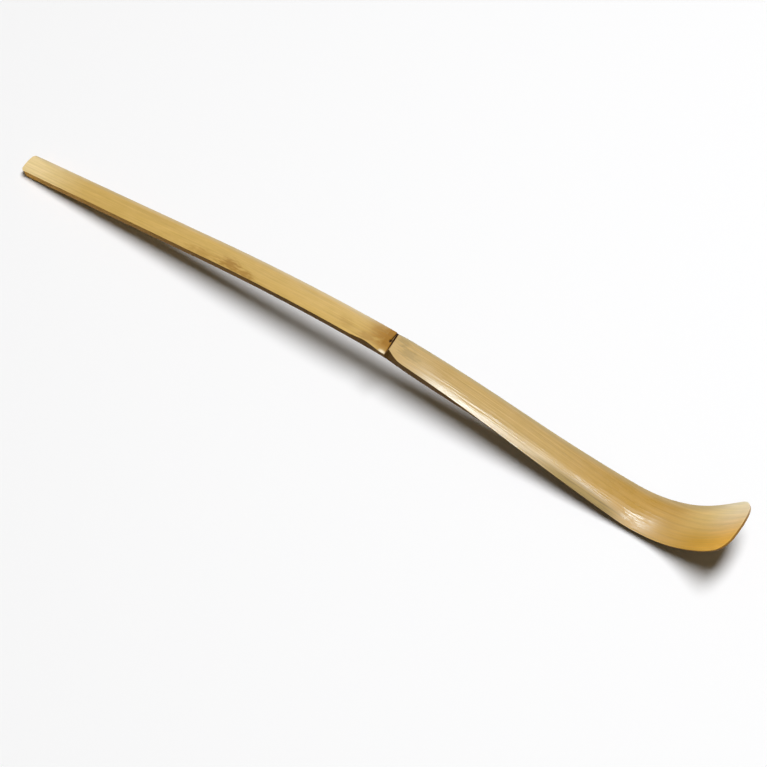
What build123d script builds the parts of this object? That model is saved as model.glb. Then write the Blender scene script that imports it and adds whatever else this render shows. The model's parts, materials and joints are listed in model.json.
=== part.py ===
# Chashaku, a bamboo tea scoop: one strip of bamboo cut across a node, planed, hollowed and bent over heat.
# The strip is modelled as the parts that it grew from: wood and skin below the node, the node, wood and
# skin above it. They meet face to face.
# Millimetres, +X from the butt to the tip, +Z up, the table at Z = 0, the origin below the middle.
import os
from collections import namedtuple
from math import asin, atan2, cos, degrees, hypot, radians, sin

from build123d import *

os.makedirs("parts", exist_ok=True)

# Runs of the strip from the butt to the tip: length along the upper edge, and how far it turns upwards
handle_straight = 51.6
handle_arch = 45.0
handle_arch_angle = -8.6
node_length = 2.0
node_angle = -3.75
shank_arch = 30.0
shank_arch_angle = -7.1
shank_straight = 28.0
bend = 16.1
bend_angle = 48.6
lip = 12.5
lip_angle = 16.2

# Widths across the upper edges
butt_width = 4.9
node_width = 5.8
bend_width = 9.54
tip_width = 13.05

# The scoop grew a little crooked: how far its tip lies to the far side, and where along the scoop, as a share
# of it, its middle crosses over from the near side
tip_sway = 2.65
sway_turn = 0.692

# How far the straight handle lies to the near side of the origin, which is below the middle of the whole
handle_offset = 1.74

# Thickness from the upper edges down to the underside, in its middle and at the scoop's pared edges, how far
# from the node that paring takes, and the thickness of the skin
butt_thickness = 2.1
node_thickness = 2.1
bend_thickness = 1.9
edge_thickness = 0.5
edge_run = 24.0
tip_thickness = 0.45
skin_thickness = 0.25

# Shape across the strip: the handle is crowned, the scoop hollowed more and more up to its bend
handle_crown = 0.15
node_hollow = 0.4
bend_hollow = 1.0
lip_hollow = 0.3
underside_bevel = 0.3
side_lean = 0.12

# Scallop pared out of the handle's near edge before the node: its depth, length and distance from the node
scallop_depth = 0.5
scallop_length = 7.6
scallop_gap = 0.4

# Where the scoop side leaves the node: its raised top, and the corner pared off its near edge
node_slant = 5.0
shoulder_rise = 0.45
shoulder_run = 5.0
corner_inset = 1.1
corner_run = 2.4

# The node's two scar lines: the main one's distance from the scoop, the gap between the two, the width and
# depth of their grooves, and the height of the ridge between them
scar_inset = 0.24
scar_gap = 0.52
scar_width = 0.3
scar_depth = 0.28
ridge_height = 0.1

# The two ends, each cut to a flat arc with rounded corners
butt_end_radius = 12.0
butt_corner_radius = 0.9
butt_ease = 0.3
tip_end_radius = 12.0
tip_corner_radius = 3.4

# Extra length left on the strip until its ends are cut, extra depth until its underside is planed, the
# gap between a cutter and the sides that it passes, and the room that a cutter takes around the strip
trim_allowance = 1.5
planing_allowance = 0.3
side_clearance = 0.05
cutter_margin = 1.0
cutter_depth = 6.0

runs = [
    (handle_straight, 0.0),
    (handle_arch, handle_arch_angle),
    (node_length, node_angle),
    (shank_arch, shank_arch_angle),
    (shank_straight, 0.0),
    (bend, bend_angle),
    (lip, lip_angle),
]
handle_length = handle_straight + handle_arch
scoop_start = handle_length + node_length
scallop_middle = handle_length - scallop_gap - scallop_length / 2
bend_start = scoop_start + shank_arch + shank_straight
lip_start = bend_start + bend
strip_length = lip_start + lip


def follow(start, heading, travelled):
    # Place and heading after the given runs, each of which turns evenly over its length
    x, z = start
    for length, turn in travelled:
        half_turn = radians(turn) / 2
        chord = length if turn == 0 else length * sin(half_turn) / half_turn
        x += chord * cos(radians(heading) + half_turn)
        z += chord * sin(radians(heading) + half_turn)
        heading += turn
    return x, z, heading


# The strip rests on the lower edge of its butt and on the outside of its bend. Laid out with the butt level,
# the table is the line from that lower edge which touches the bend's outer circle from below.
bend_x, bend_z, bend_heading = follow((0, butt_thickness), 0, runs[:-2])
bend_radius = bend / radians(bend_angle)
circle_x = bend_x - bend_radius * sin(radians(bend_heading))
circle_z = bend_z + bend_radius * cos(radians(bend_heading))
outer_radius = bend_radius + bend_thickness
table_slope = atan2(circle_z, circle_x) - asin(outer_radius / hypot(circle_x, circle_z))
butt_heading = -degrees(table_slope)

# Overall length along X, from the butt's upper edge to the underside of the tip's middle
tip_x, tip_z, tip_heading = follow((0, 0), butt_heading, runs)
overall_length = tip_x + (tip_thickness + lip_hollow) * sin(radians(tip_heading))
butt_x = -overall_length / 2
butt_z = butt_thickness * cos(radians(butt_heading))

# Upper edge line of the strip in the side view, with the allowance at both ends
with BuildLine(Plane.XZ.offset(handle_offset)) as edge_line:
    line_x, line_z, line_heading = follow((butt_x, butt_z), butt_heading, [(-trim_allowance, 0.0)])
    run_end = (line_x, line_z)
    for length, turn in [(trim_allowance, 0.0), *runs, (trim_allowance, 0.0)]:
        if turn == 0:
            run = PolarLine(run_end, length, line_heading)
        else:
            run = JernArc(run_end, run % 1, length / abs(radians(turn)), turn)
        line_heading += turn
        run_end = run @ 1
edge_path = edge_line.wires()[0]


def edge_point(distance):
    return edge_path.position_at(distance + trim_allowance, PositionMode.LENGTH)


def edge_direction(distance):
    return edge_path.tangent_at(distance + trim_allowance, PositionMode.LENGTH)


def cross_plane(distance, slant=0.0):
    # Plane across the strip at a distance from the butt, with its x across the strip and its y up
    along = edge_direction(distance)
    upward = along.cross(Vector(0, 1, 0))
    across = Vector(0, 1, 0) * cos(radians(slant)) - along * sin(radians(slant))
    return Plane(edge_point(distance), x_dir=across, z_dir=across.cross(upward))


def end_plane(distance, outward):
    # Plane of the strip's upper edges at one end, with its x pointing out of that end
    along = edge_direction(distance) * outward
    upward = Vector(0, -outward, 0).cross(along)
    return Plane(edge_point(distance), x_dir=along, z_dir=upward)


def ease(share):
    # Smooth step from 0 to 1
    share = min(max(share, 0.0), 1.0)
    return share * share * (3 - 2 * share)


def spaced(start, end, count):
    # Even stations after start, up to and with end
    return [start + (end - start) * step / count for step in range(1, count + 1)]


# Shape across the strip: half widths from the middle to the near and far upper edges, height of those edges
# over the edge line, depth of the hollow between them (a crown is negative), half width at the foot of the
# sides, depth of the underside at the sides, how much further it swells in the middle, and how far the middle
# lies to the far side
CrossShape = namedtuple("CrossShape", "near far rise hollow foot depth swell sway")


def handle_shape(distance):
    share = distance / handle_length
    half = (butt_width + (node_width - butt_width) * share) / 2
    depth = butt_thickness + (node_thickness - butt_thickness) * share
    return CrossShape(half, half, 0.0, -handle_crown, half - side_lean, depth, 0.0, 0.0)


# The scoop side widens by a straight taper and a cubic flare that reach the bend's and the tip's widths
bend_reach = bend_start - scoop_start
tip_reach = strip_length - scoop_start
bend_rate = (bend_width - node_width) / 2 / bend_reach
tip_rate = (tip_width - node_width) / 2 / tip_reach
flare = (tip_rate - bend_rate) / (tip_reach**2 - bend_reach**2)
taper = bend_rate - flare * bend_reach**2


def scoop_shape(distance):
    reach = distance - scoop_start
    half = node_width / 2 + taper * reach + flare * reach**3
    shoulder = 1 - ease(reach / shoulder_run)
    thinning = ease((distance - lip_start) / lip)
    middle_depth = node_thickness + (bend_thickness - node_thickness) * ease(reach / bend_reach)
    middle_depth += (tip_thickness + lip_hollow - bend_thickness) * thinning
    depth = node_thickness + (edge_thickness - node_thickness) * ease(reach / edge_run)
    depth += (tip_thickness - edge_thickness) * thinning
    hollow = node_hollow + (bend_hollow - node_hollow) * ease(reach / bend_reach)
    hollow += (lip_hollow - bend_hollow) * thinning
    rise = shoulder_rise * shoulder
    share = reach / tip_reach
    sway = tip_sway * share**2 * (share - sway_turn) / (1 - sway_turn)
    return CrossShape(half, half, rise, hollow, half - side_lean, depth, middle_depth - depth, sway)


def cross_section(plane, shape, stock=0.0):
    # Closed outline of the strip: hollowed or crowned top, leaning sides, bevels along the underside, which
    # is flat or swells as the hollow above it does. Stock is left under it where it is planed afterwards.
    bevel = min(underside_bevel, (shape.depth - skin_thickness) / 2)
    near_edge = (shape.sway - shape.near, shape.rise)
    far_edge = (shape.sway + shape.far, shape.rise)
    middle = (near_edge[0] + far_edge[0]) / 2
    low = -shape.depth - stock
    near_flat = (shape.sway - shape.foot + bevel + stock, low)
    far_flat = (shape.sway + shape.foot - bevel - stock, low)
    with BuildSketch(plane) as outline:
        with BuildLine():
            ThreePointArc(near_edge, (middle, shape.rise - shape.hollow), far_edge)
            Polyline(far_edge, (shape.sway + shape.foot, bevel - shape.depth), far_flat)
            if shape.swell > 0:
                ThreePointArc(far_flat, (shape.sway, low - shape.swell), near_flat)
            else:
                Line(far_flat, near_flat)
            Polyline(near_flat, (shape.sway - shape.foot, bevel - shape.depth), near_edge)
        make_face()
    return outline.sketch


def skin_section(plane, shape):
    # Everything above the underside of the skin, wider than the strip by the cutter's margin
    lopsided = (shape.far - shape.near) / 2
    middle = shape.sway + lopsided
    half = (shape.far + shape.near) / 2
    wide = max(half, shape.foot + abs(lopsided)) + cutter_margin
    low = shape.rise - shape.hollow - skin_thickness
    side = low + shape.hollow * (wide / half) ** 2
    high = shape.rise + max(-shape.hollow, side) + cutter_margin
    with BuildSketch(plane) as outline:
        with BuildLine():
            ThreePointArc((middle - wide, side), (middle, low), (middle + wide, side))
            Polyline((middle + wide, side), (middle + wide, high), (middle - wide, high), (middle - wide, side))
        make_face()
    return outline.sketch


def offcut(plane, end_shape, inner_shape, end_radius, corner_radius):
    # Waste around a strip's end: what lies outside its end arc and its rounded corners, which run out along
    # the sides. The two shapes are those at the end and at two corner radii from it.
    run = 2 * corner_radius
    reach = trim_allowance + cutter_margin
    end_half = end_shape.far + side_clearance
    inner_half = inner_shape.far + side_clearance
    with BuildSketch(plane) as kept:
        with BuildLine():
            Polyline(
                (0, end_shape.sway + end_half),
                (-run, inner_shape.sway + inner_half),
                (-run, inner_shape.sway - inner_half),
                (0, end_shape.sway - end_half),
                close=True,
            )
        make_face()
        with Locations(Location((-end_radius, end_shape.sway, 0), (0, 0, 180))):
            Circle(end_radius, mode=Mode.INTERSECT)
        fillet(kept.vertices().sort_by(Axis.X)[-2:], corner_radius)
    with BuildSketch(plane) as waste:
        with Locations(((reach - run) / 2, end_shape.sway)):
            Rectangle(reach + run, 2 * (max(end_half, inner_half) + abs(end_shape.sway) + cutter_margin))
        add(kept.sketch_local, mode=Mode.SUBTRACT)
    return waste.sketch


# Handle: blank with the underside of its straight run planed flat, its butt cut to shape and its near edge
# scalloped, parted at the underside of the skin
butt_place = (cross_plane(-trim_allowance), handle_shape(-trim_allowance))
arch_stations = [handle_straight, *spaced(handle_straight, handle_length, 4)[:-1]]
arch_places = [(cross_plane(station), handle_shape(station)) for station in arch_stations]
arch_places.append((cross_plane(handle_length, node_slant), handle_shape(handle_length)))
handle_side = Plane(edge_point(0.0), x_dir=edge_direction(0.0), z_dir=(0, -1, 0))

with BuildPart() as handle_blank:
    loft([cross_section(*place, planing_allowance) for place in (butt_place, arch_places[0])], ruled=True)
    with BuildSketch(handle_side):
        with BuildLine():
            low = -butt_thickness - node_thickness - planing_allowance
            Polyline(
                (-trim_allowance, -handle_shape(-trim_allowance).depth),
                (handle_straight, -handle_shape(handle_straight).depth),
                (handle_straight, low),
                (-trim_allowance, low),
                close=True,
            )
        make_face()
    extrude(amount=butt_width + node_width, both=True, mode=Mode.SUBTRACT)
    loft([cross_section(*place) for place in arch_places])
    butt_shapes = (handle_shape(0.0), handle_shape(2 * butt_corner_radius))
    butt_waste = offcut(end_plane(0.0, -1), *butt_shapes, butt_end_radius, butt_corner_radius)
    extrude(butt_waste, amount=cutter_depth, both=True, mode=Mode.SUBTRACT)
    with BuildSketch(handle_side):
        with BuildLine():
            eased = handle_crown - butt_ease
            high = handle_crown + cutter_margin
            RadiusArc((0, eased), (butt_ease, handle_crown), butt_ease)
            Polyline(
                (butt_ease, handle_crown),
                (butt_ease, high),
                (-cutter_margin, high),
                (-cutter_margin, eased),
                (0, eased),
            )
        make_face()
    extrude(amount=butt_width, both=True, mode=Mode.SUBTRACT)
    with BuildSketch(end_plane(scallop_middle, 1)):
        with BuildLine():
            edge = -handle_shape(scallop_middle).near
            clear = edge - side_clearance
            half_length = scallop_length / 2
            ThreePointArc((-half_length, clear), (0, edge + scallop_depth), (half_length, clear))
            Polyline(
                (half_length, clear),
                (half_length, clear - cutter_margin),
                (-half_length, clear - cutter_margin),
                (-half_length, clear),
            )
        make_face()
    extrude(amount=cutter_depth, both=True, mode=Mode.SUBTRACT)

with BuildPart() as handle_skin_zone:
    loft([skin_section(*place) for place in (butt_place, arch_places[0])], ruled=True)
    loft([skin_section(*place) for place in arch_places])

with BuildPart() as handle_wood:
    add(handle_blank.part)
    add(handle_skin_zone.part, mode=Mode.SUBTRACT)
handle_wood.part.label = "handle_wood"

with BuildPart() as handle_skin:
    add(handle_blank.part)
    add(handle_skin_zone.part, mode=Mode.INTERSECT)
handle_skin.part.label = "handle_skin"

# Node: the handle's last shape, sunk along two scar lines with a ridge between them, up to the scoop's first
main_scar = scoop_start - scar_inset
side_scar = main_scar - scar_gap
node_profile = [
    (handle_length, 0.0),
    (side_scar - scar_width / 2, 0.0),
    (side_scar, -scar_depth),
    (main_scar - scar_gap / 2, ridge_height),
    (main_scar, -scar_depth),
]
handle_last = handle_shape(handle_length)
node_places = [(station, handle_last._replace(rise=height)) for station, height in node_profile]
scoop_first = scoop_shape(scoop_start)
pared_first = scoop_first._replace(near=scoop_first.near - corner_inset)
node_places.append((scoop_start, pared_first))
with BuildPart() as node:
    loft([cross_section(cross_plane(station, node_slant), shape) for station, shape in node_places], ruled=True)
node.part.label = "node"

# Scoop: blank with its tip cut to shape and the corner beside the node pared off, parted at the underside of
# the skin
scoop_stations = spaced(scoop_start, scoop_start + shoulder_run, 3)
scoop_stations += spaced(scoop_start + shoulder_run, bend_start, 5)
scoop_stations += spaced(bend_start, lip_start, 4)
scoop_stations += spaced(lip_start, strip_length, 3)
scoop_stations.append(strip_length + trim_allowance)
node_face = cross_plane(scoop_start, node_slant)
scoop_places = [(node_face, scoop_first)]
scoop_places += [(cross_plane(station), scoop_shape(station)) for station in scoop_stations]
corner_end = scoop_start + corner_run
corner_top = node_face.from_local_coords((-pared_first.near, pared_first.rise, 0))
corner_foot = node_face.from_local_coords((-pared_first.foot, underside_bevel - pared_first.depth, 0))
corner_edge = cross_plane(corner_end).from_local_coords((-scoop_shape(corner_end).near, 0, 0))
corner_line = corner_edge - corner_top
corner_plane = Plane(corner_top, x_dir=corner_line, z_dir=corner_line.cross(corner_foot - corner_top))

with BuildPart() as scoop_blank:
    loft([cross_section(*place) for place in scoop_places])
    split(bisect_by=corner_plane, keep=Keep.TOP)
    tip_shapes = (scoop_shape(strip_length), scoop_shape(strip_length - 2 * tip_corner_radius))
    tip_waste = offcut(end_plane(strip_length, 1), *tip_shapes, tip_end_radius, tip_corner_radius)
    extrude(tip_waste, amount=cutter_depth, both=True, mode=Mode.SUBTRACT)

with BuildPart() as scoop_skin_zone:
    loft([skin_section(*place) for place in scoop_places])

with BuildPart() as scoop_wood:
    add(scoop_blank.part)
    add(scoop_skin_zone.part, mode=Mode.SUBTRACT)
scoop_wood.part.label = "scoop_wood"

with BuildPart() as scoop_skin:
    add(scoop_blank.part)
    add(scoop_skin_zone.part, mode=Mode.INTERSECT)
scoop_skin.part.label = "scoop_skin"

for piece in (handle_wood, handle_skin, node, scoop_wood, scoop_skin):
    export_step(piece.part, f"parts/{piece.part.label}.step")
    print(f"{piece.part.label}: {piece.part.volume:.1f} mm3")
print(f"overall length {overall_length:.1f}, butt heading {butt_heading:.2f}, tip heading {tip_heading:.1f}")
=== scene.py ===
import json
from math import atan2, cos, exp, hypot, pi, radians, sin, sqrt, tan

import bmesh
import bpy
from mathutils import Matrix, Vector, noise


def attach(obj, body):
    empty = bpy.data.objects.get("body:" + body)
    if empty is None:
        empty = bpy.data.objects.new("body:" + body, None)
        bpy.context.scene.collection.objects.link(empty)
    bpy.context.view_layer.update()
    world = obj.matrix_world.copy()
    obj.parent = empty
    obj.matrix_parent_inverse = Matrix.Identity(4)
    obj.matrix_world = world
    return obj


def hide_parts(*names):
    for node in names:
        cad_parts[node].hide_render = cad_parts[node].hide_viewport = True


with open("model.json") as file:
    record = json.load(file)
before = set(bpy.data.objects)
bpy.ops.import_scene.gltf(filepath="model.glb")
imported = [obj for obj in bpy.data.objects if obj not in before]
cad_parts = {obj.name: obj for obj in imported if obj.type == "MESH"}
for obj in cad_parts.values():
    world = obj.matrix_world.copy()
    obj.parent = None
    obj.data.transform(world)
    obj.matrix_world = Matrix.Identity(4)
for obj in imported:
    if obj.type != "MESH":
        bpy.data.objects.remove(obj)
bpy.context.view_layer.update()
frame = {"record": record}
scene = bpy.context.scene
scene.view_settings.view_transform = "Standard"
mm = 0.001

# The bamboo strip from butt to tip, in millimetres and degrees, measured along its upper edge
strip = {
    "runs": [  # length and upward turn of each run
        (51.6, 0.0),
        (45.0, -8.6),
        (2.0, -3.75),
        (30.0, -7.1),
        (28.0, 0.0),
        (16.1, 48.6),
        (12.5, 16.2),
    ],
    "restAt": 25.8,  # how far from the butt the record's flat rest lies
    "buttWidth": 4.9,
    "nodeWidth": 5.8,
    "bendWidth": 9.54,
    "tipWidth": 13.05,
    "tipSway": 2.65,  # of the tip's middle to the far side, and where on the scoop its middle crosses over
    "swayTurn": 0.692,
    "lipSwell": 0.9,  # extra width of the tip, all of it on the near side, and where it begins
    "swellFrom": 161.0,
    "depth": 2.1,  # up to the node, and then in the middle of the bend
    "bendDepth": 1.9,
    "edgeDepth": 0.5,  # of the scoop's pared edges, and from where to where behind the node they thin to it
    "edgeFrom": 3.0,
    "edgeTo": 32.0,
    "shankSwell": 0.5,  # extra depth of the shank's sides behind the node, most at a third of this run
    "shankRun": 30.0,
    "tipDepth": 0.45,
    "skin": 0.25,  # thickness of the hard outer skin
    "crown": 0.06,  # of the handle's middle over its edges
    "nodeGroove": 0.33,  # depth of the hollow at the node and at the bend, and how it deepens between them
    "bendGroove": 1.2,
    "grooveRun": 46.0,
    "groovePower": 2.2,
    "grooveFloor": 0.01,  # rounds the bottom of the hollow
    "vee": 0.25,  # how far the hollow turns to a V, where it does so, and where it turns round again
    "veeFrom": 122.0,
    "veeRun": 22.0,
    "roundFrom": 156.0,
    "roundRun": 12.0,
    "lipHollow": 0.3,  # depth of the hollow at the tip
    "bevel": 0.3,  # of the lower edges
    "lean": 0.12,  # of the sides, inwards towards the foot
    "slant": 5.0,  # of the node, and the runs before and behind it over which the rows turn to it and back
    "slantIn": 12.0,
    "slantOut": 3.0,
}
runEnds = [sum(length for length, turn in strip["runs"][: count + 1]) for count in range(len(strip["runs"]))]
handleEnd, scoopStart, bendStart, lipStart, stripEnd = (runEnds[i] for i in (1, 2, 4, 5, 6))
bendReach = bendStart - scoopStart
tipReach = stripEnd - scoopStart
bendRate = (strip["bendWidth"] - strip["nodeWidth"]) / 2 / bendReach
tipRate = (strip["tipWidth"] - strip["nodeWidth"]) / 2 / tipReach
flare = (tipRate - bendRate) / (tipReach**2 - bendReach**2)
taper = bendRate - flare * bendReach**2

# The flat rest of the record sets where the strip lies and how steeply its butt rises
rest = frame["record"]["mounts"][0]
restAxis = Vector(rest["axis"])
buttHeading = atan2(restAxis.x, -restAxis.z)
buttPlace = (
    Vector(rest["pos_m"]) / mm
    - restAxis * strip["depth"]
    - Vector((cos(buttHeading), 0, sin(buttHeading))) * strip["restAt"]
)


def smooth(share):
    share = min(max(share, 0.0), 1.0)
    return share * share * (3 - 2 * share)


def spaced(start, end, count):
    return [start + (end - start) * step / count for step in range(count)]


def placeAt(along):
    # side-view place and heading of the upper edge
    x, z, heading = buttPlace.x, buttPlace.z, buttHeading
    left = along
    for length, turn in strip["runs"]:
        step = min(left, length)
        halfTurn = radians(turn) * step / length / 2
        chord = step if turn == 0 or step == 0 else step * sin(halfTurn) / halfTurn
        x += chord * cos(heading + halfTurn)
        z += chord * sin(heading + halfTurn)
        heading += 2 * halfTurn
        left -= step
        if left <= 0:
            break
    return x, z, heading


def toFrame(along, across, up):
    x, z, heading = placeAt(along)
    return Vector((x - up * sin(heading), buttPlace.y + across, z + up * cos(heading))) * mm


# Small forms round the node: a scallop in the handle's near edge, its lifted and flared near corner, the two
# scars with a ridge between them and a pit, and the raised scoop behind them with its near corner pared off
node = {
    "scallopFrom": 89.0,
    "scallopTo": 97.4,
    "scallop": 0.35,
    "cornerFrom": 92.0,
    "cornerIn": 0.3,  # share of the near half that the corner's lift leaves alone
    "cornerLift": 0.3,
    "cornerFlare": 0.37,
    "mainScar": 98.36,
    "mainDepth": 0.32,
    "mainWidth": 0.15,
    "scarGap": 0.6,  # between the scars in the strip's middle, and how much of it goes towards the far rim
    "gapLoss": 0.4,
    "scarFade": 0.9,  # the second scar and the ridge run out over this width, on the near side of the pit
    "sideDepth": 0.24,
    "sideWidth": 0.12,
    "ridge": 0.1,
    "pitAcross": 0.45,
    "pitDepth": 0.2,
    "pitReach": 0.35,
    "stepLead": 0.1,  # the step up to the scoop starts this far before the main scar
    "shoulderRise": 0.45,
    "shoulderRun": 5.0,
    "farRiseLoss": 0.7,  # share of the rise that is lost at the far rim
    "inset": 1.1,  # of the near corner and of the far one, and how both run out along the scoop
    "farInset": 0.2,
    "insetRun": 3.6,
    "insetPower": 1.6,
}


def cornerShare(along):
    return smooth((along - node["cornerFrom"]) / (node["mainScar"] - node["cornerFrom"]))


def lipSwellAt(along):
    return strip["lipSwell"] * smooth((along - strip["swellFrom"]) / (stripEnd - strip["swellFrom"]))


def swayAt(along):
    # how far the middle of the scoop lies to the far side
    share = max(0.0, along - scoopStart) / tipReach
    sway = strip["tipSway"] * share**2 * (share - strip["swayTurn"]) / (1 - strip["swayTurn"])
    return sway - lipSwellAt(along) / 2


def shapeAt(along):
    # half widths of the section's edges and foot, rise of its edges, hollow, depth, and swell below
    if along <= scoopStart:
        share = min(along / handleEnd, 1.0)
        half = (strip["buttWidth"] + (strip["nodeWidth"] - strip["buttWidth"]) * share) / 2
        cut = (along - node["scallopFrom"]) / (node["scallopTo"] - node["scallopFrom"])
        scallop = node["scallop"] * sin(pi * cut) ** 2 if 0 < cut < 1 else 0.0
        stepFrom = node["mainScar"] - node["stepLead"]
        step = smooth((along - stepFrom) / (scoopStart - stepFrom))
        scallop -= node["cornerFlare"] * cornerShare(along) * (1 - step)
        hollow = -strip["crown"] + (strip["nodeGroove"] + strip["crown"]) * step
        depth = strip["depth"]
        swell = 0.0
        pared = step
    else:
        reach = along - scoopStart
        thinning = smooth((along - lipStart) / (stripEnd - lipStart))
        half = strip["nodeWidth"] / 2 + taper * reach + flare * reach**3 + lipSwellAt(along) / 2
        scallop = 0.0
        step = 1 - smooth(reach / node["shoulderRun"])
        pared = max(0.0, 1 - reach / node["insetRun"]) ** node["insetPower"]
        middle = strip["depth"] + (strip["bendDepth"] - strip["depth"]) * smooth(reach / bendReach)
        middle += (strip["tipDepth"] + strip["lipHollow"] - strip["bendDepth"]) * thinning
        paring = smooth((reach - strip["edgeFrom"]) / (strip["edgeTo"] - strip["edgeFrom"]))
        depth = strip["depth"] + (strip["edgeDepth"] - strip["depth"]) * paring
        depth += (strip["tipDepth"] - strip["edgeDepth"]) * thinning
        share = min(reach / strip["shankRun"], 1.0)
        depth += strip["shankSwell"] * share * (1 - share) ** 2 * 27 / 4  # 27 / 4 makes its peak 1
        deepening = min(reach / strip["grooveRun"], 1.0) ** strip["groovePower"]
        hollow = strip["nodeGroove"] + (strip["bendGroove"] - strip["nodeGroove"]) * deepening
        hollow += (strip["lipHollow"] - strip["bendGroove"]) * thinning
        swell = max(0.0, middle - depth)
    return {
        "near": half - node["inset"] * pared - scallop,
        "far": half - node["farInset"] * pared,
        "foot": half - strip["lean"],
        "rise": node["shoulderRise"] * step,
        "hollow": hollow,
        "depth": depth,
        "swell": swell,
    }


def bevelAt(shape):
    return min(strip["bevel"], (shape["depth"] - strip["skin"]) / 2)


def footDrop(shape):
    return shape["rise"] + shape["depth"] - bevelAt(shape)


def sideDrop(shape, drop):
    # half widths of the near and the far side at a drop below the upper edges
    share = drop / footDrop(shape)
    return [edge + (shape["foot"] - edge) * share for edge in (shape["near"], shape["far"])]


def sideScarAt(share):
    return node["mainScar"] - node["scarGap"] + node["gapLoss"] * share


def scarHeight(along, across):
    # the node's scars, ridge and pit, over the plain upper face
    side = sideScarAt(across * 2 / strip["nodeWidth"])
    mainScar = exp(-(((along - node["mainScar"]) / node["mainWidth"]) ** 2))
    sideScar = exp(-(((along - side) / node["sideWidth"]) ** 2))
    ridge = exp(-(((along - (node["mainScar"] + side) / 2) / node["sideWidth"]) ** 2))
    pit = exp(-(hypot(along - side, across - node["pitAcross"]) / node["pitReach"]) ** 2)
    farPart = smooth((across - node["pitAcross"] + node["scarFade"]) / node["scarFade"])
    height = node["ridge"] * ridge * farPart - node["pitDepth"] * pit
    return height - node["mainDepth"] * mainScar - node["sideDepth"] * sideScar * farPart


def upperHeight(along, share):
    # the hollow turns from round to nearly a V along the shank, and round again in the bend
    shape = shapeAt(along)
    turning = smooth((along - strip["veeFrom"]) / strip["veeRun"])
    rounding = smooth((along - strip["roundFrom"]) / strip["roundRun"])
    power = 1 - strip["vee"] * min(turning, 1 - rounding)
    height = shape["rise"] * (1 - node["farRiseLoss"] * max(0.0, share))
    height -= shape["hollow"] * (1 - (share**2 + strip["grooveFloor"]) ** power)
    if along < node["mainScar"]:
        corner = max(0.0, -share - node["cornerIn"]) / (1 - node["cornerIn"])
        height += node["cornerLift"] * cornerShare(along) * corner**2
    return height


def rowShift(along):
    # rows lie aslant at the node and straight across away from it
    before = smooth((along - handleEnd + strip["slantIn"]) / strip["slantIn"])
    after = 1 - smooth((along - scoopStart) / strip["slantOut"])
    return tan(radians(strip["slant"])) * min(before, after)


def endCurve(endHalf, innerHalf, endRadius, cornerRadius):
    # one end's outline by share of its length: a flat arc, then a rounded corner that meets the flared side
    run = 2 * cornerRadius
    sideLength = hypot(run, innerHalf - endHalf)
    sideX = -run / sideLength
    sideY = (innerHalf - endHalf) / sideLength
    startX = sideY * cornerRadius
    startY = endHalf - abs(sideX) * cornerRadius
    towards = (startX + endRadius) * sideX + startY * sideY
    gap = (startX + endRadius) ** 2 + startY**2 - (endRadius - cornerRadius) ** 2
    slide = -towards - sqrt(towards**2 - gap)
    slide = slide if slide > 0 else -towards + sqrt(towards**2 - gap)
    centreX = startX + sideX * slide
    centreY = startY + sideY * slide
    arcAngle = atan2(centreY, centreX + endRadius)
    fullAngle = atan2(abs(sideX), -sideY)
    arcLength = endRadius * arcAngle
    halfLength = arcLength + cornerRadius * (fullAngle - arcAngle)

    def pointAt(share):
        length = abs(share) * halfLength
        sign = 1 if share >= 0 else -1
        if length <= arcLength:
            angle = length / endRadius
            return endRadius * (cos(angle) - 1), sign * endRadius * sin(angle)
        angle = arcAngle + (length - arcLength) / cornerRadius
        return centreX + cornerRadius * cos(angle), sign * (centreY + cornerRadius * sin(angle))

    return pointAt


# The two cut ends. A blend is the run over which the rows turn from straight to the end's outline
butt = {
    "endRadius": 12.0,
    "cornerRadius": 0.9,
    "blend": 5.0,
    "ease": 0.3,  # of the upper edge
}
tip = {
    "nearEndRadius": 60.0,
    "nearCornerRadius": 3.2,
    "farEndRadius": 12.0,
    "farCornerRadius": 4.0,
    "blend": 12.0,
}
buttInner = shapeAt(2 * butt["cornerRadius"])["far"]
tipHalf = shapeAt(stripEnd)["far"]
buttCurve = endCurve(strip["buttWidth"] / 2, buttInner, butt["endRadius"], butt["cornerRadius"])
tipCurves = [
    endCurve(tipHalf, shapeAt(stripEnd - 2 * corner)["far"], end, corner)
    for end, corner in (
        (tip["nearEndRadius"], tip["nearCornerRadius"]),
        (tip["farEndRadius"], tip["farCornerRadius"]),
    )
]

# Unevenness left by the knife: its height, its waves per millimetre, and which slice of the noise it is
wander = {
    "height": 0.03,
    "along": 0.11,
    "across": 0.35,
    "slice": 3.7,
}


def edgeWander(along, across):
    place = Vector((along * wander["along"], across * wander["across"], wander["slice"]))
    return wander["height"] * noise.noise(place)


def spot(row, share, drop):
    # one grid point on the strip: along, across, along before the slant, and its share of the half width
    pull, endY, along = 0.0, 0.0, row
    if row < butt["blend"]:
        pull = 1 - row / butt["blend"]
        endX, endY = buttCurve(share)
        along = row - endX * pull
    elif row > stripEnd - tip["blend"]:
        pull = (row - stripEnd + tip["blend"]) / tip["blend"]
        endX, endY = tipCurves[share > 0](share)
        along = row + endX * pull
    shape = shapeAt(along)
    near, far = sideDrop(shape, drop)
    middle = (far - near) / 2
    half = (far + near) / 2
    across = middle + share * half
    if pull > 0:
        ratio = (far + near) / (shape["near"] + shape["far"])
        across += (endY * ratio - across) * pull**2
    localShare = min(max((across - middle) / half, -1.0), 1.0)
    return along - across * rowShift(row), across, along, localShare


def upperSheet(row, share):
    along, across, plainAlong, localShare = spot(row, share, 0.0)
    height = upperHeight(plainAlong, localShare) + edgeWander(along, across)
    if handleEnd <= row <= scoopStart:
        height += scarHeight(row, across)
    return along, across + swayAt(plainAlong), height


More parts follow.
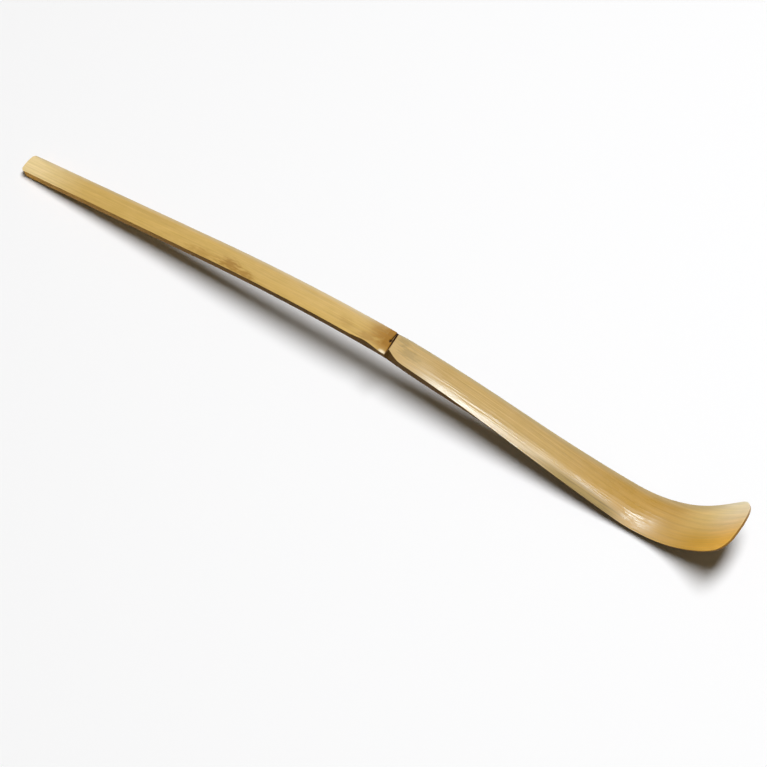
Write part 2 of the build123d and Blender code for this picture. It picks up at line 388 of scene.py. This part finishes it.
def skinFoot(row, share):
    along, across, plainAlong, localShare = spot(row, share, strip["skin"])
    height = upperHeight(plainAlong, localShare) + edgeWander(along, across) - strip["skin"]
    return along, across + swayAt(plainAlong), height


def lowerSheet(row, share):
    along, across, plainAlong = spot(row, share, footDrop(shapeAt(row)))[:3]
    shape = shapeAt(plainAlong)
    bevel = bevelAt(shape)
    sway = swayAt(plainAlong)
    if abs(share) == 1.0:  # the outermost columns end at the top of the bevel
        return along, across + sway, bevel - shape["depth"]
    flat = shape["foot"] - bevel
    across *= flat / shape["foot"]
    height = -shape["depth"] - shape["swell"] * max(0.0, 1 - (across / flat) ** 2)
    return along, across + sway, height + edgeWander(along, across)


upperFace, lowerFace, longSide, cutEnd = range(4)  # the order of a piece's finishes
creaseAngle = 38  # degrees, from which an edge is shaded as a sharp one


def layPiece(name, nodeName, slotName, rows, columns, upper, lower, bevels, finishes):
    # a sheet of rows and columns, extruded to a second sheet, laid on the strip and eased along its rims
    mesh = bpy.data.meshes.new(name)
    piece = bpy.data.objects.new(name, mesh)
    scene.collection.objects.link(piece)
    bm = bmesh.new()
    rowLayer = bm.verts.layers.float.new("row")
    shareLayer = bm.verts.layers.float.new("share")
    sheetLayer = bm.verts.layers.int.new("sheet")
    stripLayer = bm.verts.layers.float_vector.new("strip")
    stationLayer = bm.verts.layers.float.new("station")
    lastRow, lastColumn = len(rows) - 1, len(columns) - 1
    bmesh.ops.create_grid(bm, x_segments=lastRow, y_segments=lastColumn, size=1.0)
    for vert in bm.verts:
        vert[rowLayer] = round((vert.co.x + 1) / 2 * lastRow)
        vert[shareLayer] = columns[round((vert.co.y + 1) / 2 * lastColumn)]
    for copied in bmesh.ops.extrude_face_region(bm, geom=bm.faces[:])["geom"]:
        if isinstance(copied, bmesh.types.BMVert):
            copied[sheetLayer] = 1
    for vert in bm.verts:
        sheet = lower if vert[sheetLayer] else upper
        station = rows[round(vert[rowLayer])]
        place = sheet(station, vert[shareLayer])
        vert.co = toFrame(*place)
        vert[stripLayer] = place
        vert[stationLayer] = station
    for face in bm.faces:
        sheets = {vert[sheetLayer] for vert in face.verts}
        ends = {round(vert[rowLayer]) for vert in face.verts}
        if len(sheets) == 1:
            face.material_index = upperFace if 0 in sheets else lowerFace
        else:
            face.material_index = cutEnd if len(ends) == 1 else longSide
    bmesh.ops.recalc_face_normals(bm, faces=bm.faces[:])
    for sheetFace, endRow, width, segments in bevels:
        rims = [edge for edge in bm.edges if isRim(edge, sheetFace, endRow, rowLayer, lastRow)]
        bmesh.ops.bevel(
            bm,
            geom=rims,
            offset=width * mm,
            offset_type="OFFSET",
            segments=segments,
            profile=0.5,
            affect="EDGES",
            material=-1,
            clamp_overlap=True,
        )
    for face in bm.faces:
        face.smooth = True
    bm.to_mesh(mesh)
    bm.free()
    mesh.set_sharp_from_angle(angle=radians(creaseAngle))
    for finish in finishes:
        mesh.materials.append(finish)
    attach(piece, "root")
    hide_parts(nodeName)
    print(name, len(mesh.polygons), "faces")


def isRim(edge, sheetFace, endRow, rowLayer, lastRow):
    # an edge between one sheet and the long sides, or between that sheet and one cut end
    kinds = sorted(face.material_index for face in edge.link_faces)
    rowsHere = {round(vert[rowLayer]) for vert in edge.verts}
    if endRow is None:
        return kinds == [sheetFace, longSide]
    return kinds == [sheetFace, cutEnd] and rowsHere == {endRow % (lastRow + 1)}


# Shader building
def put(tree, kind, inputs=None, **settings):
    made = tree.nodes.new(kind)
    for key, value in settings.items():
        setattr(made, key, value)
    for key, value in (inputs or {}).items():
        socket = made.inputs[key]
        if isinstance(value, bpy.types.NodeSocket):
            tree.links.new(value, socket)
        else:
            socket.default_value = value
    return made


def maths(tree, operation, first, second=0.0):
    return put(tree, "ShaderNodeMath", {0: first, 1: second}, operation=operation).outputs[0]


def vectorMaths(tree, operation, first, second):
    return put(tree, "ShaderNodeVectorMath", {0: first, 1: second}, operation=operation).outputs[0]


def band(tree, value, start, end):
    inputs = {"Value": value, "From Min": start, "From Max": end}
    return put(tree, "ShaderNodeMapRange", inputs, interpolation_type="SMOOTHSTEP").outputs["Result"]


mixSockets = {"mask": 0, "under": 6, "over": 7, "result": 2}  # of a Mix node that blends colours


def blendColour(tree, mask, under, over, mode="MIX"):
    inputs = {mixSockets["mask"]: mask}
    for key, colour in (("under", under), ("over", over)):
        linked = isinstance(colour, bpy.types.NodeSocket)
        inputs[mixSockets[key]] = colour if linked else (*colour, 1.0)
    made = put(tree, "ShaderNodeMix", inputs, data_type="RGBA", blend_type=mode)
    return made.outputs[mixSockets["result"]]


def startGroup(name, inputs, outputs):
    tree = bpy.data.node_groups.new(name, "ShaderNodeTree")
    for label, kind, value in inputs:
        socket = tree.interface.new_socket(label, in_out="INPUT", socket_type=kind)
        socket.default_value = value
    for label, kind in outputs:
        tree.interface.new_socket(label, in_out="OUTPUT", socket_type=kind)
    return tree, tree.nodes.new("NodeGroupInput"), tree.nodes.new("NodeGroupOutput")


# Fibres along the strip: fine threads, broader streaks, short dark dashes and soft patches. A pace is in
# waves per millimetre along, across and through the strip, and a noise is its detail and roughness
fibreLook = {
    "threadAlong": 0.07,  # across, a thread's pace is the fineness that each finish gives
    "threadNoise": (2.0, 0.6),
    "streakPace": (0.04, 1.3, 0.0),
    "streakNoise": (2.0, 0.5),
    "dashPace": (0.3, 2.8, 2.8),
    "dashNoise": (1.0, 0.5),
    "dashBand": (0.6, 0.72),
    "patchPace": (0.28, 0.75, 0.0),
    "patchNoise": (3.0, 0.6),
}


def fibreGroup():
    tree, given, made = startGroup(
        "bambooFibre",
        [
            ("Strip", "NodeSocketVector", (0, 0, 0)),
            ("Fineness", "NodeSocketFloat", 6.0),
        ],
        [
            ("Thread", "NodeSocketFloat"),
            ("Streak", "NodeSocketFloat"),
            ("Dash", "NodeSocketFloat"),
            ("Patch", "NodeSocketFloat"),
        ],
    )

    def noiseAt(pace, detail, roughness):
        scaled = vectorMaths(tree, "MULTIPLY", given.outputs["Strip"], pace)
        inputs = {"Vector": scaled, "Scale": 1.0, "Detail": detail, "Roughness": roughness}
        return put(tree, "ShaderNodeTexNoise", inputs).outputs["Fac"]

    paces = {0: fibreLook["threadAlong"], 1: given.outputs["Fineness"], 2: 0.0}
    threadPace = put(tree, "ShaderNodeCombineXYZ", paces).outputs[0]
    tree.links.new(noiseAt(threadPace, *fibreLook["threadNoise"]), made.inputs["Thread"])
    tree.links.new(noiseAt(fibreLook["streakPace"], *fibreLook["streakNoise"]), made.inputs["Streak"])
    dashes = noiseAt(fibreLook["dashPace"], *fibreLook["dashNoise"])
    tree.links.new(band(tree, dashes, *fibreLook["dashBand"]), made.inputs["Dash"])
    tree.links.new(noiseAt(fibreLook["patchPace"], *fibreLook["patchNoise"]), made.inputs["Patch"])
    return tree


# One soft-edged stain, drawn out along the strip and broken up by the fibres
stainLook = {
    "pace": (0.6, 2.4, 2.4),
    "detail": 3.0,
    "wobble": 4.0,
    "edge": (1.0, 0.15),
    "through": 9.0,  # reach through the strip, in millimetres
}
noiseMiddle = 0.5  # mean of a noise texture


def stainGroup():
    tree, given, made = startGroup(
        "heatStain",
        [
            ("Strip", "NodeSocketVector", (0, 0, 0)),
            ("Centre", "NodeSocketVector", (0, 0, 0)),
            ("Reach", "NodeSocketVector", (1, 1, 1)),
            ("Ragged", "NodeSocketFloat", 0.5),
        ],
        [("Mask", "NodeSocketFloat")],
    )
    offset = vectorMaths(tree, "SUBTRACT", given.outputs["Strip"], given.outputs["Centre"])
    scaled = vectorMaths(tree, "DIVIDE", offset, given.outputs["Reach"])
    distance = put(tree, "ShaderNodeVectorMath", {0: scaled}, operation="LENGTH").outputs["Value"]
    stretched = vectorMaths(tree, "MULTIPLY", given.outputs["Strip"], stainLook["pace"])
    inputs = {"Vector": stretched, "Scale": 1.0, "Detail": stainLook["detail"]}
    broken = put(tree, "ShaderNodeTexNoise", inputs).outputs["Fac"]
    ragged = maths(tree, "MULTIPLY", maths(tree, "SUBTRACT", broken, noiseMiddle), given.outputs["Ragged"])
    rough = maths(tree, "ADD", distance, maths(tree, "MULTIPLY", ragged, stainLook["wobble"]))
    tree.links.new(band(tree, rough, *stainLook["edge"]), made.inputs["Mask"])
    return tree


fibre = fibreGroup()
stain = stainGroup()


def startFinish(name, specular):
    finish = bpy.data.materials.new(name)
    finish.use_nodes = True
    tree = finish.node_tree
    tree.nodes.clear()
    shader = put(tree, "ShaderNodeBsdfPrincipled", {"Specular IOR Level": specular})
    put(tree, "ShaderNodeOutputMaterial", {"Surface": shader.outputs["BSDF"]})
    place = put(tree, "ShaderNodeAttribute", attribute_name="strip").outputs["Vector"]
    share = put(tree, "ShaderNodeAttribute", attribute_name="share").outputs["Fac"]
    along = put(tree, "ShaderNodeSeparateXYZ", {0: place}).outputs[0]
    return finish, tree, shader, {"place": place, "along": along, "share": share}


def useFibre(tree, lay, fineness):
    made = put(tree, "ShaderNodeGroup", node_tree=fibre)
    tree.links.new(lay["place"], made.inputs["Strip"])
    made.inputs["Fineness"].default_value = fineness
    return made


def useStain(tree, lay, centre, reach, ragged):
    made = put(tree, "ShaderNodeGroup", node_tree=stain)
    tree.links.new(lay["place"], made.inputs["Strip"])
    made.inputs["Centre"].default_value = (*centre, 0.0)
    made.inputs["Reach"].default_value = (*reach, stainLook["through"])
    made.inputs["Ragged"].default_value = ragged
    return made.outputs["Mask"]


def stainColour(tree, lay, colour, look, over):
    for centre, reach, strength in look["stains"]:
        mask = useStain(tree, lay, centre, reach, look["ragged"])
        colour = blendColour(tree, maths(tree, "MULTIPLY", mask, strength), colour, over)
    return colour


grainLook = {
    "slowShare": 0.5,  # weight of the streaks and patches beside the threads
    "level": 1.0,  # sum of all three at which a colour stays as it is
    "drift": 0.8,  # how far the patches turn a colour warmer or cooler
    "glossSpread": 0.3,  # how far the threads vary the roughness
    "streakRelief": 0.5,
    "relief": 0.07,  # millimetres
}


def grainColour(tree, colour, grain, depth):
    # darkens and lightens a colour by the threads, streaks and patches, and tints it by the patches
    slow = maths(tree, "ADD", grain.outputs["Streak"], grain.outputs["Patch"])
    slow = maths(tree, "MULTIPLY", slow, grainLook["slowShare"])
    shade = maths(tree, "SUBTRACT", maths(tree, "ADD", slow, grain.outputs["Thread"]), grainLook["level"])
    gain = maths(tree, "ADD", maths(tree, "MULTIPLY", shade, depth), 1.0)
    uneven = maths(tree, "SUBTRACT", grain.outputs["Patch"], noiseMiddle)
    drift = maths(tree, "MULTIPLY", uneven, depth * grainLook["drift"])
    blue = maths(tree, "ADD", gain, drift)
    tint = put(tree, "ShaderNodeCombineColor", {0: gain, 1: gain, 2: blue}).outputs[0]
    return blendColour(tree, 1.0, colour, tint, "MULTIPLY")


def finishSurface(tree, shader, colour, grain, roughness, relief):
    tree.links.new(colour, shader.inputs["Base Color"])
    uneven = maths(tree, "SUBTRACT", grain.outputs["Thread"], noiseMiddle)
    spread = maths(tree, "MULTIPLY", uneven, grainLook["glossSpread"])
    tree.links.new(maths(tree, "ADD", spread, roughness), shader.inputs["Roughness"])
    broad = maths(tree, "MULTIPLY", grain.outputs["Streak"], grainLook["streakRelief"])
    height = maths(tree, "ADD", grain.outputs["Thread"], broad)
    inputs = {"Strength": relief, "Distance": grainLook["relief"] * mm, "Height": height}
    bump = put(tree, "ShaderNodeBump", inputs)
    tree.links.new(bump.outputs["Normal"], shader.inputs["Normal"])


# The finishes. A pair of numbers is where a change begins and where it is full: along the strip, across it
# as a share of the half width, or in a noise
def handleSkinFinish():
    look = {
        "honey": (0.605, 0.39, 0.105),
        "pale": (0.84, 0.645, 0.315),  # at the butt
        "paleBand": (20.0, 0.0),
        "smudge": (0.37, 0.19, 0.03),
        "stains": [  # centre along and across, reach along and across, strength
            ((50.5, -1.9), (5.5, 1.6), 0.45),
            ((57.7, -1.5), (4.2, 1.9), 0.9),
            ((61.8, -2.1), (4.2, 1.4), 0.8),
            ((87.5, -1.0), (3.0, 1.6), 0.25),
            ((92.8, -1.7), (2.6, 1.3), 0.5),
            ((94.2, 1.2), (2.4, 1.5), 0.4),
        ],
        "ragged": 0.4,
        "cool": (0.56, 0.46, 0.3),  # along the far rim
        "coolBand": (0.6, 1.0),
        "coolShare": 0.6,
        "toast": (0.355, 0.165, 0.014),  # beside the node, first in patches and then all over
        "toastBand": (89.5, 97.0),
        "toastPatches": (0.25, 0.6),
        "toastFull": (94.5, 97.0),
        "toastAcross": (-1.3, -0.2),
        "grain": 0.4,
        "fineness": 2.4,
        "relief": 0.4,
        "specular": 0.24,
        "roughness": 0.42,
        "dulled": 0.25,  # roughness added beside the node
    }
    finish, tree, shader, lay = startFinish("handleSkin", look["specular"])
    grain = useFibre(tree, lay, look["fineness"])
    colour = blendColour(tree, band(tree, lay["along"], *look["paleBand"]), look["honey"], look["pale"])
    colour = stainColour(tree, lay, colour, look, look["smudge"])
    farRim = maths(tree, "MULTIPLY", band(tree, lay["share"], *look["coolBand"]), look["coolShare"])
    colour = blendColour(tree, farRim, colour, look["cool"])
    beside = band(tree, lay["along"], *look["toastBand"])
    mottled = maths(tree, "MULTIPLY", beside, band(tree, grain.outputs["Patch"], *look["toastPatches"]))
    browned = maths(tree, "MAXIMUM", mottled, band(tree, lay["along"], *look["toastFull"]))
    browned = maths(tree, "MULTIPLY", browned, band(tree, lay["share"], *look["toastAcross"]))
    colour = blendColour(tree, browned, colour, look["toast"])
    colour = grainColour(tree, colour, grain, look["grain"])
    roughness = maths(tree, "ADD", maths(tree, "MULTIPLY", beside, look["dulled"]), look["roughness"])
    finishSurface(tree, shader, colour, grain, roughness, look["relief"])
    return finish


def scoopSkinFinish():
    look = {
        "straw": (0.575, 0.385, 0.145),  # turns to amber towards the bend
        "amber": (0.53, 0.315, 0.075),
        "amberBand": (135.0, 162.0),
        "scorch": (0.37, 0.26, 0.1),
        "stains": [  # centre along and across, reach along and across, strength
            ((102.6, 0.2), (3.4, 1.8), 0.6),
            ((100.2, 2.2), (2.6, 1.6), 0.6),
        ],
        "ragged": 0.5,
        "shade": (0.38, 0.26, 0.08),  # painted shade on the steep near side before the bend, with dark threads
        "shadeFrom": (132.0, 144.0),
        "shadeTo": (160.0, 153.0),
        "shadeAcross": (-0.3, -0.75),
        "line": (0.17, 0.1, 0.03),
        "lineThreads": (0.5, 0.38),
        "lineShare": 0.6,
        "gold": (0.57, 0.3, 0.015),  # the lip's near side and then its far side, each with its end; partly the bamboo's own colour and partly painted light, which grows to a painted glow towards the tip
        "tipGoldGlow": (0.86, 0.45, 0.04),
        "ash": (0.81, 0.59, 0.235),
        "tipAshGlow": (0.98, 0.84, 0.56),
        "tipGlowBand": (172.0, 185.0),
        "lipBand": (165.0, 176.0),
        "lipAcross": (-0.6, 0.9),
        "cool": (0.5, 0.41, 0.24),  # along the far rim, which pales at the tip into a painted glow
        "tipRimGlow": (0.98, 0.9, 0.7),
        "rimBand": (0.7, 1.0),
        "rimShare": 0.65,
        "grain": 0.33,
        "fineness": 2.1,
        "relief": 1.0,
        "specular": 0.5,
        "shine": 0.24,  # roughness of the polished shank
        "wearAndPaintedSheen": 0.5,  # roughness of the patches worn in the bend
        "wornPatches": (0.42, 0.58),
        "wornBand": (150.0, 156.0),
        "dull": 0.75,  # roughness of the lip, of the end beside the node and of the shaded near side
        "dullLip": (160.0, 168.0),
        "dullNode": (114.0, 100.0),
    }
    finish, tree, shader, lay = startFinish("scoopSkin", look["specular"])
    along, share = lay["along"], lay["share"]
    grain = useFibre(tree, lay, look["fineness"])
    colour = blendColour(tree, band(tree, along, *look["amberBand"]), look["straw"], look["amber"])
    colour = stainColour(tree, lay, colour, look, look["scorch"])
    # painted shade on the near side before the bend, where the wall turns away from the overhead lamp
    shaded = maths(
        tree, "MULTIPLY", band(tree, along, *look["shadeFrom"]), band(tree, along, *look["shadeTo"])
    )
    shaded = maths(tree, "MULTIPLY", shaded, band(tree, share, *look["shadeAcross"]))
    colour = blendColour(tree, shaded, colour, look["shade"])
    lines = maths(tree, "MULTIPLY", band(tree, grain.outputs["Thread"], *look["lineThreads"]), shaded)
    colour = blendColour(tree, maths(tree, "MULTIPLY", lines, look["lineShare"]), colour, look["line"])
    # painted glow: the lip and its far rim lighten towards the tip, as if lit through the thin lip
    tipGlow = band(tree, along, *look["tipGlowBand"])
    nearLip = blendColour(tree, tipGlow, look["gold"], look["tipGoldGlow"])
    farLip = blendColour(tree, tipGlow, look["ash"], look["tipAshGlow"])
    lip = blendColour(tree, band(tree, share, *look["lipAcross"]), nearLip, farLip)
    colour = blendColour(tree, band(tree, along, *look["lipBand"]), colour, lip)
    farRim = maths(tree, "MULTIPLY", band(tree, share, *look["rimBand"]), look["rimShare"])
    colour = blendColour(tree, farRim, colour, blendColour(tree, tipGlow, look["cool"], look["tipRimGlow"]))
    colour = grainColour(tree, colour, grain, look["grain"])
    patches = band(tree, grain.outputs["Patch"], *look["wornPatches"])
    wearAndPaintedSheen = maths(tree, "MULTIPLY", patches, band(tree, along, *look["wornBand"]))
    wearAndPaintedSheen = maths(tree, "MULTIPLY", wearAndPaintedSheen, look["wearAndPaintedSheen"] - look["shine"])
    dull = maths(
        tree, "MAXIMUM", band(tree, along, *look["dullLip"]), band(tree, along, *look["dullNode"])
    )
    dull = maths(tree, "MAXIMUM", dull, shaded)
    dull = maths(tree, "MULTIPLY", dull, look["dull"] - look["shine"])
    roughness = maths(tree, "ADD", maths(tree, "MAXIMUM", wearAndPaintedSheen, dull), look["shine"])
    finishSurface(tree, shader, colour, grain, roughness, look["relief"])
    return finish


def nodeFinish():
    look = {
        "honey": (0.605, 0.39, 0.105),
        "toast": (0.355, 0.165, 0.014),
        "toastAcross": (-1.3, -0.2),
        "straw": (0.5, 0.34, 0.13),  # behind the main scar
        "strawLead": 0.05,
        "wearAndPaintedSheen": (0.85, 0.72, 0.48),  # painted highlight on the pale near corner, where the lifted corner catches the light
        "paintedSheenAt": (97.75, -2.95),
        "paintedSheenReach": (1.25, 0.8),
        "ridge": (0.36, 0.2, 0.06),
        "ridgeBand": (-0.1, 0.1),
        "scar": (0.035, 0.013, 0.004),
        "nearScar": (0.13, 0.06, 0.018),
        "scarAcross": (-0.5, 0.3),
        "mainWidth": (0.22, 0.07),
        "mainWiden": -0.3,  # the main scar's line is wider towards the far rim
        "sideWidth": (0.14, 0.04),
        "sideFrom": (0.02, 0.2),
        "pitReach": (0.55, 0.5),
        "ragged": 0.1,
        "grain": 0.5,
        "fineness": 2.6,
        "relief": 0.35,
        "specular": 0.24,
        "roughness": 0.67,
    }
    finish, tree, shader, lay = startFinish("nodeScar", look["specular"])
    share = lay["share"]
    station = put(tree, "ShaderNodeAttribute", attribute_name="station").outputs["Fac"]
    grain = useFibre(tree, lay, look["fineness"])
    toast = blendColour(tree, band(tree, share, *look["toastAcross"]), look["honey"], look["toast"])
    behind = band(tree, station, node["mainScar"] - look["strawLead"], scoopStart)
    colour = blendColour(tree, behind, toast, look["straw"])
    # painted highlight on the lifted near corner of the node
    wearAndPaintedSheen = useStain(tree, lay, look["paintedSheenAt"], look["paintedSheenReach"], look["ragged"])
    colour = blendColour(tree, wearAndPaintedSheen, colour, look["wearAndPaintedSheen"])
    toMain = maths(tree, "SUBTRACT", station, node["mainScar"])
    gap = maths(tree, "SUBTRACT", node["scarGap"], maths(tree, "MULTIPLY", share, node["gapLoss"]))
    toSide = maths(tree, "ADD", toMain, gap)
    farHalf = band(tree, share, *look["sideFrom"])
    between = maths(tree, "MULTIPLY", band(tree, toSide, *look["ridgeBand"]), farHalf)
    colour = blendColour(tree, between, colour, look["ridge"])
    colour = grainColour(tree, colour, grain, look["grain"])
    scarColour = blendColour(tree, band(tree, share, *look["scarAcross"]), look["nearScar"], look["scar"])
    sideLine = band(tree, maths(tree, "ABSOLUTE", toSide), *look["sideWidth"])
    colour = blendColour(tree, maths(tree, "MULTIPLY", sideLine, farHalf), colour, scarColour)
    widen = maths(tree, "ADD", maths(tree, "MULTIPLY", share, look["mainWiden"]), 1.0)
    mainDistance = maths(tree, "MULTIPLY", maths(tree, "ABSOLUTE", toMain), widen)
    colour = blendColour(tree, band(tree, mainDistance, *look["mainWidth"]), colour, scarColour)
    pitAt = (sideScarAt(2 * node["pitAcross"] / strip["nodeWidth"]), node["pitAcross"])
    pit = useStain(tree, lay, pitAt, look["pitReach"], look["ragged"])
    colour = blendColour(tree, pit, colour, look["scar"])
    finishSurface(tree, shader, colour, grain, look["roughness"], look["relief"])
    return finish


# Cut wood, the same in kind on the sides, the ends and the underside
cutWood = {
    "darkening": (-30.0, 75.0),  # along the handle, already under way at the butt; on the sides it is partly painted shade
    "lipBand": (162.0, 176.0),
    "lipAcross": (0.0, 0.8),
    "dashShare": 0.55,
    "fineness": 4.0,
    "relief": 0.4,
    "specular": 0.1,
}
# the sides: amber at the butt painted as lit where the side stands low over the lit floor, then the wood's
# own dark brown with painted shade over the floor's shadow
sideColoursAndShade = {
    "butt": (0.72, 0.38, 0.07),
    "wood": (0.125, 0.062, 0.01),
    "nearLip": (0.3, 0.155, 0.035),
    "farLip": (0.3, 0.155, 0.035),
    "dash": (0.06, 0.03, 0.008),
    "grain": 0.6,
    "roughness": 0.7,
}
endLook = {
    "butt": (0.3, 0.17, 0.05),
    "wood": (0.22, 0.12, 0.035),
    "nearLip": (0.3, 0.155, 0.035),
    "farLip": (0.66, 0.5, 0.32),
    "dash": (0.06, 0.03, 0.008),
    "grain": 0.4,
    "roughness": 0.65,
}
undersideLook = {
    "butt": (0.26, 0.14, 0.035),
    "wood": (0.09, 0.04, 0.009),
    "nearLip": (0.16, 0.08, 0.02),
    "farLip": (0.16, 0.08, 0.02),
    "dash": (0.05, 0.022, 0.006),
    "grain": 0.5,
    "roughness": 0.6,
}


def woodFinish(name, look):
    finish, tree, shader, lay = startFinish(name, cutWood["specular"])
    grain = useFibre(tree, lay, cutWood["fineness"])
    # on the sides this darkening along the handle is partly painted shade
    darker = band(tree, lay["along"], *cutWood["darkening"])
    colour = blendColour(tree, darker, look["butt"], look["wood"])
    lip = blendColour(tree, band(tree, lay["share"], *cutWood["lipAcross"]), look["nearLip"], look["farLip"])
    colour = blendColour(tree, band(tree, lay["along"], *cutWood["lipBand"]), colour, lip)
    colour = grainColour(tree, colour, grain, look["grain"])
    dashes = maths(tree, "MULTIPLY", grain.outputs["Dash"], cutWood["dashShare"])
    colour = blendColour(tree, dashes, colour, look["dash"])
    finishSurface(tree, shader, colour, grain, look["roughness"], cutWood["relief"])
    return finish


handleTop = handleSkinFinish()
scoopTop = scoopSkinFinish()
nodeTop = nodeFinish()
splitSide = woodFinish("splitSide", sideColoursAndShade)
endGrain = woodFinish("endGrain", endLook)
underside = woodFinish("undersideWood", undersideLook)
print("finishes made")

# Rows along the strip and columns across it, closer where the form turns quickly
buttZone, approachStart, shoulderZone = 6.0, 86.0, 6.0
evenColumns = [*spaced(-1.0, 1.0, 28), 1.0]
nodeColumns = [*spaced(-1.0, 1.0, 48), 1.0]
handleRows = [
    *spaced(0.0, buttZone, 18),
    *spaced(buttZone, approachStart, 64),
    *spaced(approachStart, handleEnd, 30),
    handleEnd,
]
nodeRows = [*spaced(handleEnd, scoopStart, 56), scoopStart]
scoopRows = [
    *spaced(scoopStart, scoopStart + shoulderZone, 30),
    *spaced(scoopStart + shoulderZone, bendStart, 46),
    *spaced(bendStart, lipStart, 34),
    *spaced(lipStart, stripEnd, 40),
    stripEnd,
]

# The five pieces. A bevel is the sheet it eases, the row of a cut end or None for both long sides, its width
# and its segments
rimEase, footEase = 0.1, 0.06
handleSkin = {
    "name": "handleSkin",
    "nodeName": "handle_skin",
    "slotName": "bamboo_skin",
    "rows": handleRows,
    "columns": evenColumns,
    "upper": upperSheet,
    "lower": skinFoot,
    "bevels": [(upperFace, 0, butt["ease"], 4), (upperFace, None, rimEase, 3)],
    "finishes": [handleTop, underside, splitSide, handleTop],
}
handleWood = {
    "name": "handleWood",
    "nodeName": "handle_wood",
    "slotName": "bamboo_wood",
    "rows": handleRows,
    "columns": evenColumns,
    "upper": skinFoot,
    "lower": lowerSheet,
    "bevels": [(lowerFace, None, footEase, 2)],
    "finishes": [underside, underside, splitSide, endGrain],
}
nodeBand = {
    "name": "nodeBand",
    "nodeName": "node",
    "slotName": "bamboo_node",
    "rows": nodeRows,
    "columns": nodeColumns,
    "upper": upperSheet,
    "lower": lowerSheet,
    "bevels": [(upperFace, None, rimEase, 3)],
    "finishes": [nodeTop, underside, splitSide, endGrain],
}
scoopSkin = {
    "name": "scoopSkin",
    "nodeName": "scoop_skin",
    "slotName": "bamboo_skin",
    "rows": scoopRows,
    "columns": evenColumns,
    "upper": upperSheet,
    "lower": skinFoot,
    "bevels": [(upperFace, None, rimEase, 3), (upperFace, -1, footEase, 2)],
    "finishes": [scoopTop, underside, splitSide, endGrain],
}
scoopWood = {
    "name": "scoopWood",
    "nodeName": "scoop_wood",
    "slotName": "bamboo_wood",
    "rows": scoopRows,
    "columns": evenColumns,
    "upper": skinFoot,
    "lower": lowerSheet,
    "bevels": [(lowerFace, None, footEase, 2)],
    "finishes": [underside, underside, splitSide, endGrain],
}
for plan in (handleSkin, handleWood, nodeBand, scoopSkin, scoopWood):
    layPiece(**plan)

# Floor, light and camera
floorPaper = {
    "size": 3.0,
    "colour": (0.95, 0.95, 0.953, 1.0),
    "roughness": 0.9,
    "specular": 0.0,
}
overheadSoftbox = {
    "shape": "ELLIPSE",
    "size": (0.36, 0.8),
    "towards": (0.12, 0.1, 1.0),
    "distance": 1.2,
    "level": True,  # hangs level, its short side along the strip
    "power": 15.1,
    "colour": (0.963, 0.975, 1.0),
    "glossy": False,
    "diffuse": True,
}
rearStrip = {
    "shape": "RECTANGLE",
    "size": (0.7, 0.2),
    "towards": (-0.2, 0.76, 0.64),
    "distance": 1.0,
    "level": False,
    "power": 13.0,
    "colour": (0.74, 0.9, 1.0),
    "glossy": True,  # gives only the gloss
    "diffuse": False,
}
warmFill = {
    "colour": (1.0, 0.86, 0.55, 1.0),
    "strength": 0.08,
}
camera = {
    "target": (7.775, -4.677, 0.0),  # millimetres, as the distance is
    "azimuth": 33.752,
    "elevation": 58.62,
    "distance": 500.0,
    "focal": 2364.5,  # in pixels of the picture's width
    "pixels": 767,
    "sensor": 36.0,
    "clipStart": 0.01,
}


def pointAtTarget(thing, towards, distance, target):
    direction = Vector(towards).normalized()
    thing.location = target + direction * distance
    thing.rotation_euler = direction.to_track_quat("Z", "Y").to_euler()


def addFloor():
    mesh = bpy.data.meshes.new("floor")
    floor = bpy.data.objects.new("floor", mesh)
    scene.collection.objects.link(floor)
    bm = bmesh.new()
    bmesh.ops.create_grid(bm, x_segments=1, y_segments=1, size=floorPaper["size"] / 2)
    bm.to_mesh(mesh)
    bm.free()
    paper = bpy.data.materials.new("floorPaper")
    paper.use_nodes = True
    shader = paper.node_tree.nodes["Principled BSDF"]
    shader.inputs["Base Color"].default_value = floorPaper["colour"]
    shader.inputs["Roughness"].default_value = floorPaper["roughness"]
    shader.inputs["Specular IOR Level"].default_value = floorPaper["specular"]
    mesh.materials.append(paper)


def addLight(name, look):
    lamp = bpy.data.lights.new(name, "AREA")
    lamp.shape = look["shape"]
    lamp.size, lamp.size_y = look["size"]
    lamp.energy = look["power"]
    lamp.color = look["colour"]
    light = bpy.data.objects.new(name, lamp)
    scene.collection.objects.link(light)
    pointAtTarget(light, look["towards"], look["distance"], Vector((0, 0, 0)))
    if look["level"]:
        light.rotation_euler = (0, 0, 0)
    light.visible_glossy = look["glossy"]
    light.visible_diffuse = look["diffuse"]


def addWorld():
    world = bpy.data.worlds.new("studio")
    scene.world = world
    world.use_nodes = True
    tree = world.node_tree
    tree.nodes.clear()
    fill = put(tree, "ShaderNodeBackground", {"Color": warmFill["colour"], "Strength": warmFill["strength"]})
    put(tree, "ShaderNodeOutputWorld", {"Surface": fill.outputs[0]})


def addCamera():
    lens = bpy.data.cameras.new("camera")
    lens.sensor_width = camera["sensor"]
    lens.lens = camera["focal"] / camera["pixels"] * camera["sensor"]
    lens.clip_start = camera["clipStart"]
    eye = bpy.data.objects.new("camera", lens)
    scene.collection.objects.link(eye)
    azimuth, elevation = radians(camera["azimuth"]), radians(camera["elevation"])
    towards = (sin(azimuth) * cos(elevation), -cos(azimuth) * cos(elevation), sin(elevation))
    pointAtTarget(eye, towards, camera["distance"] * mm, Vector(camera["target"]) * mm)
    scene.camera = eye


addFloor()
addLight("overheadSoftbox", overheadSoftbox)
addLight("rearStrip", rearStrip)
addWorld()
addCamera()
print("studio set")
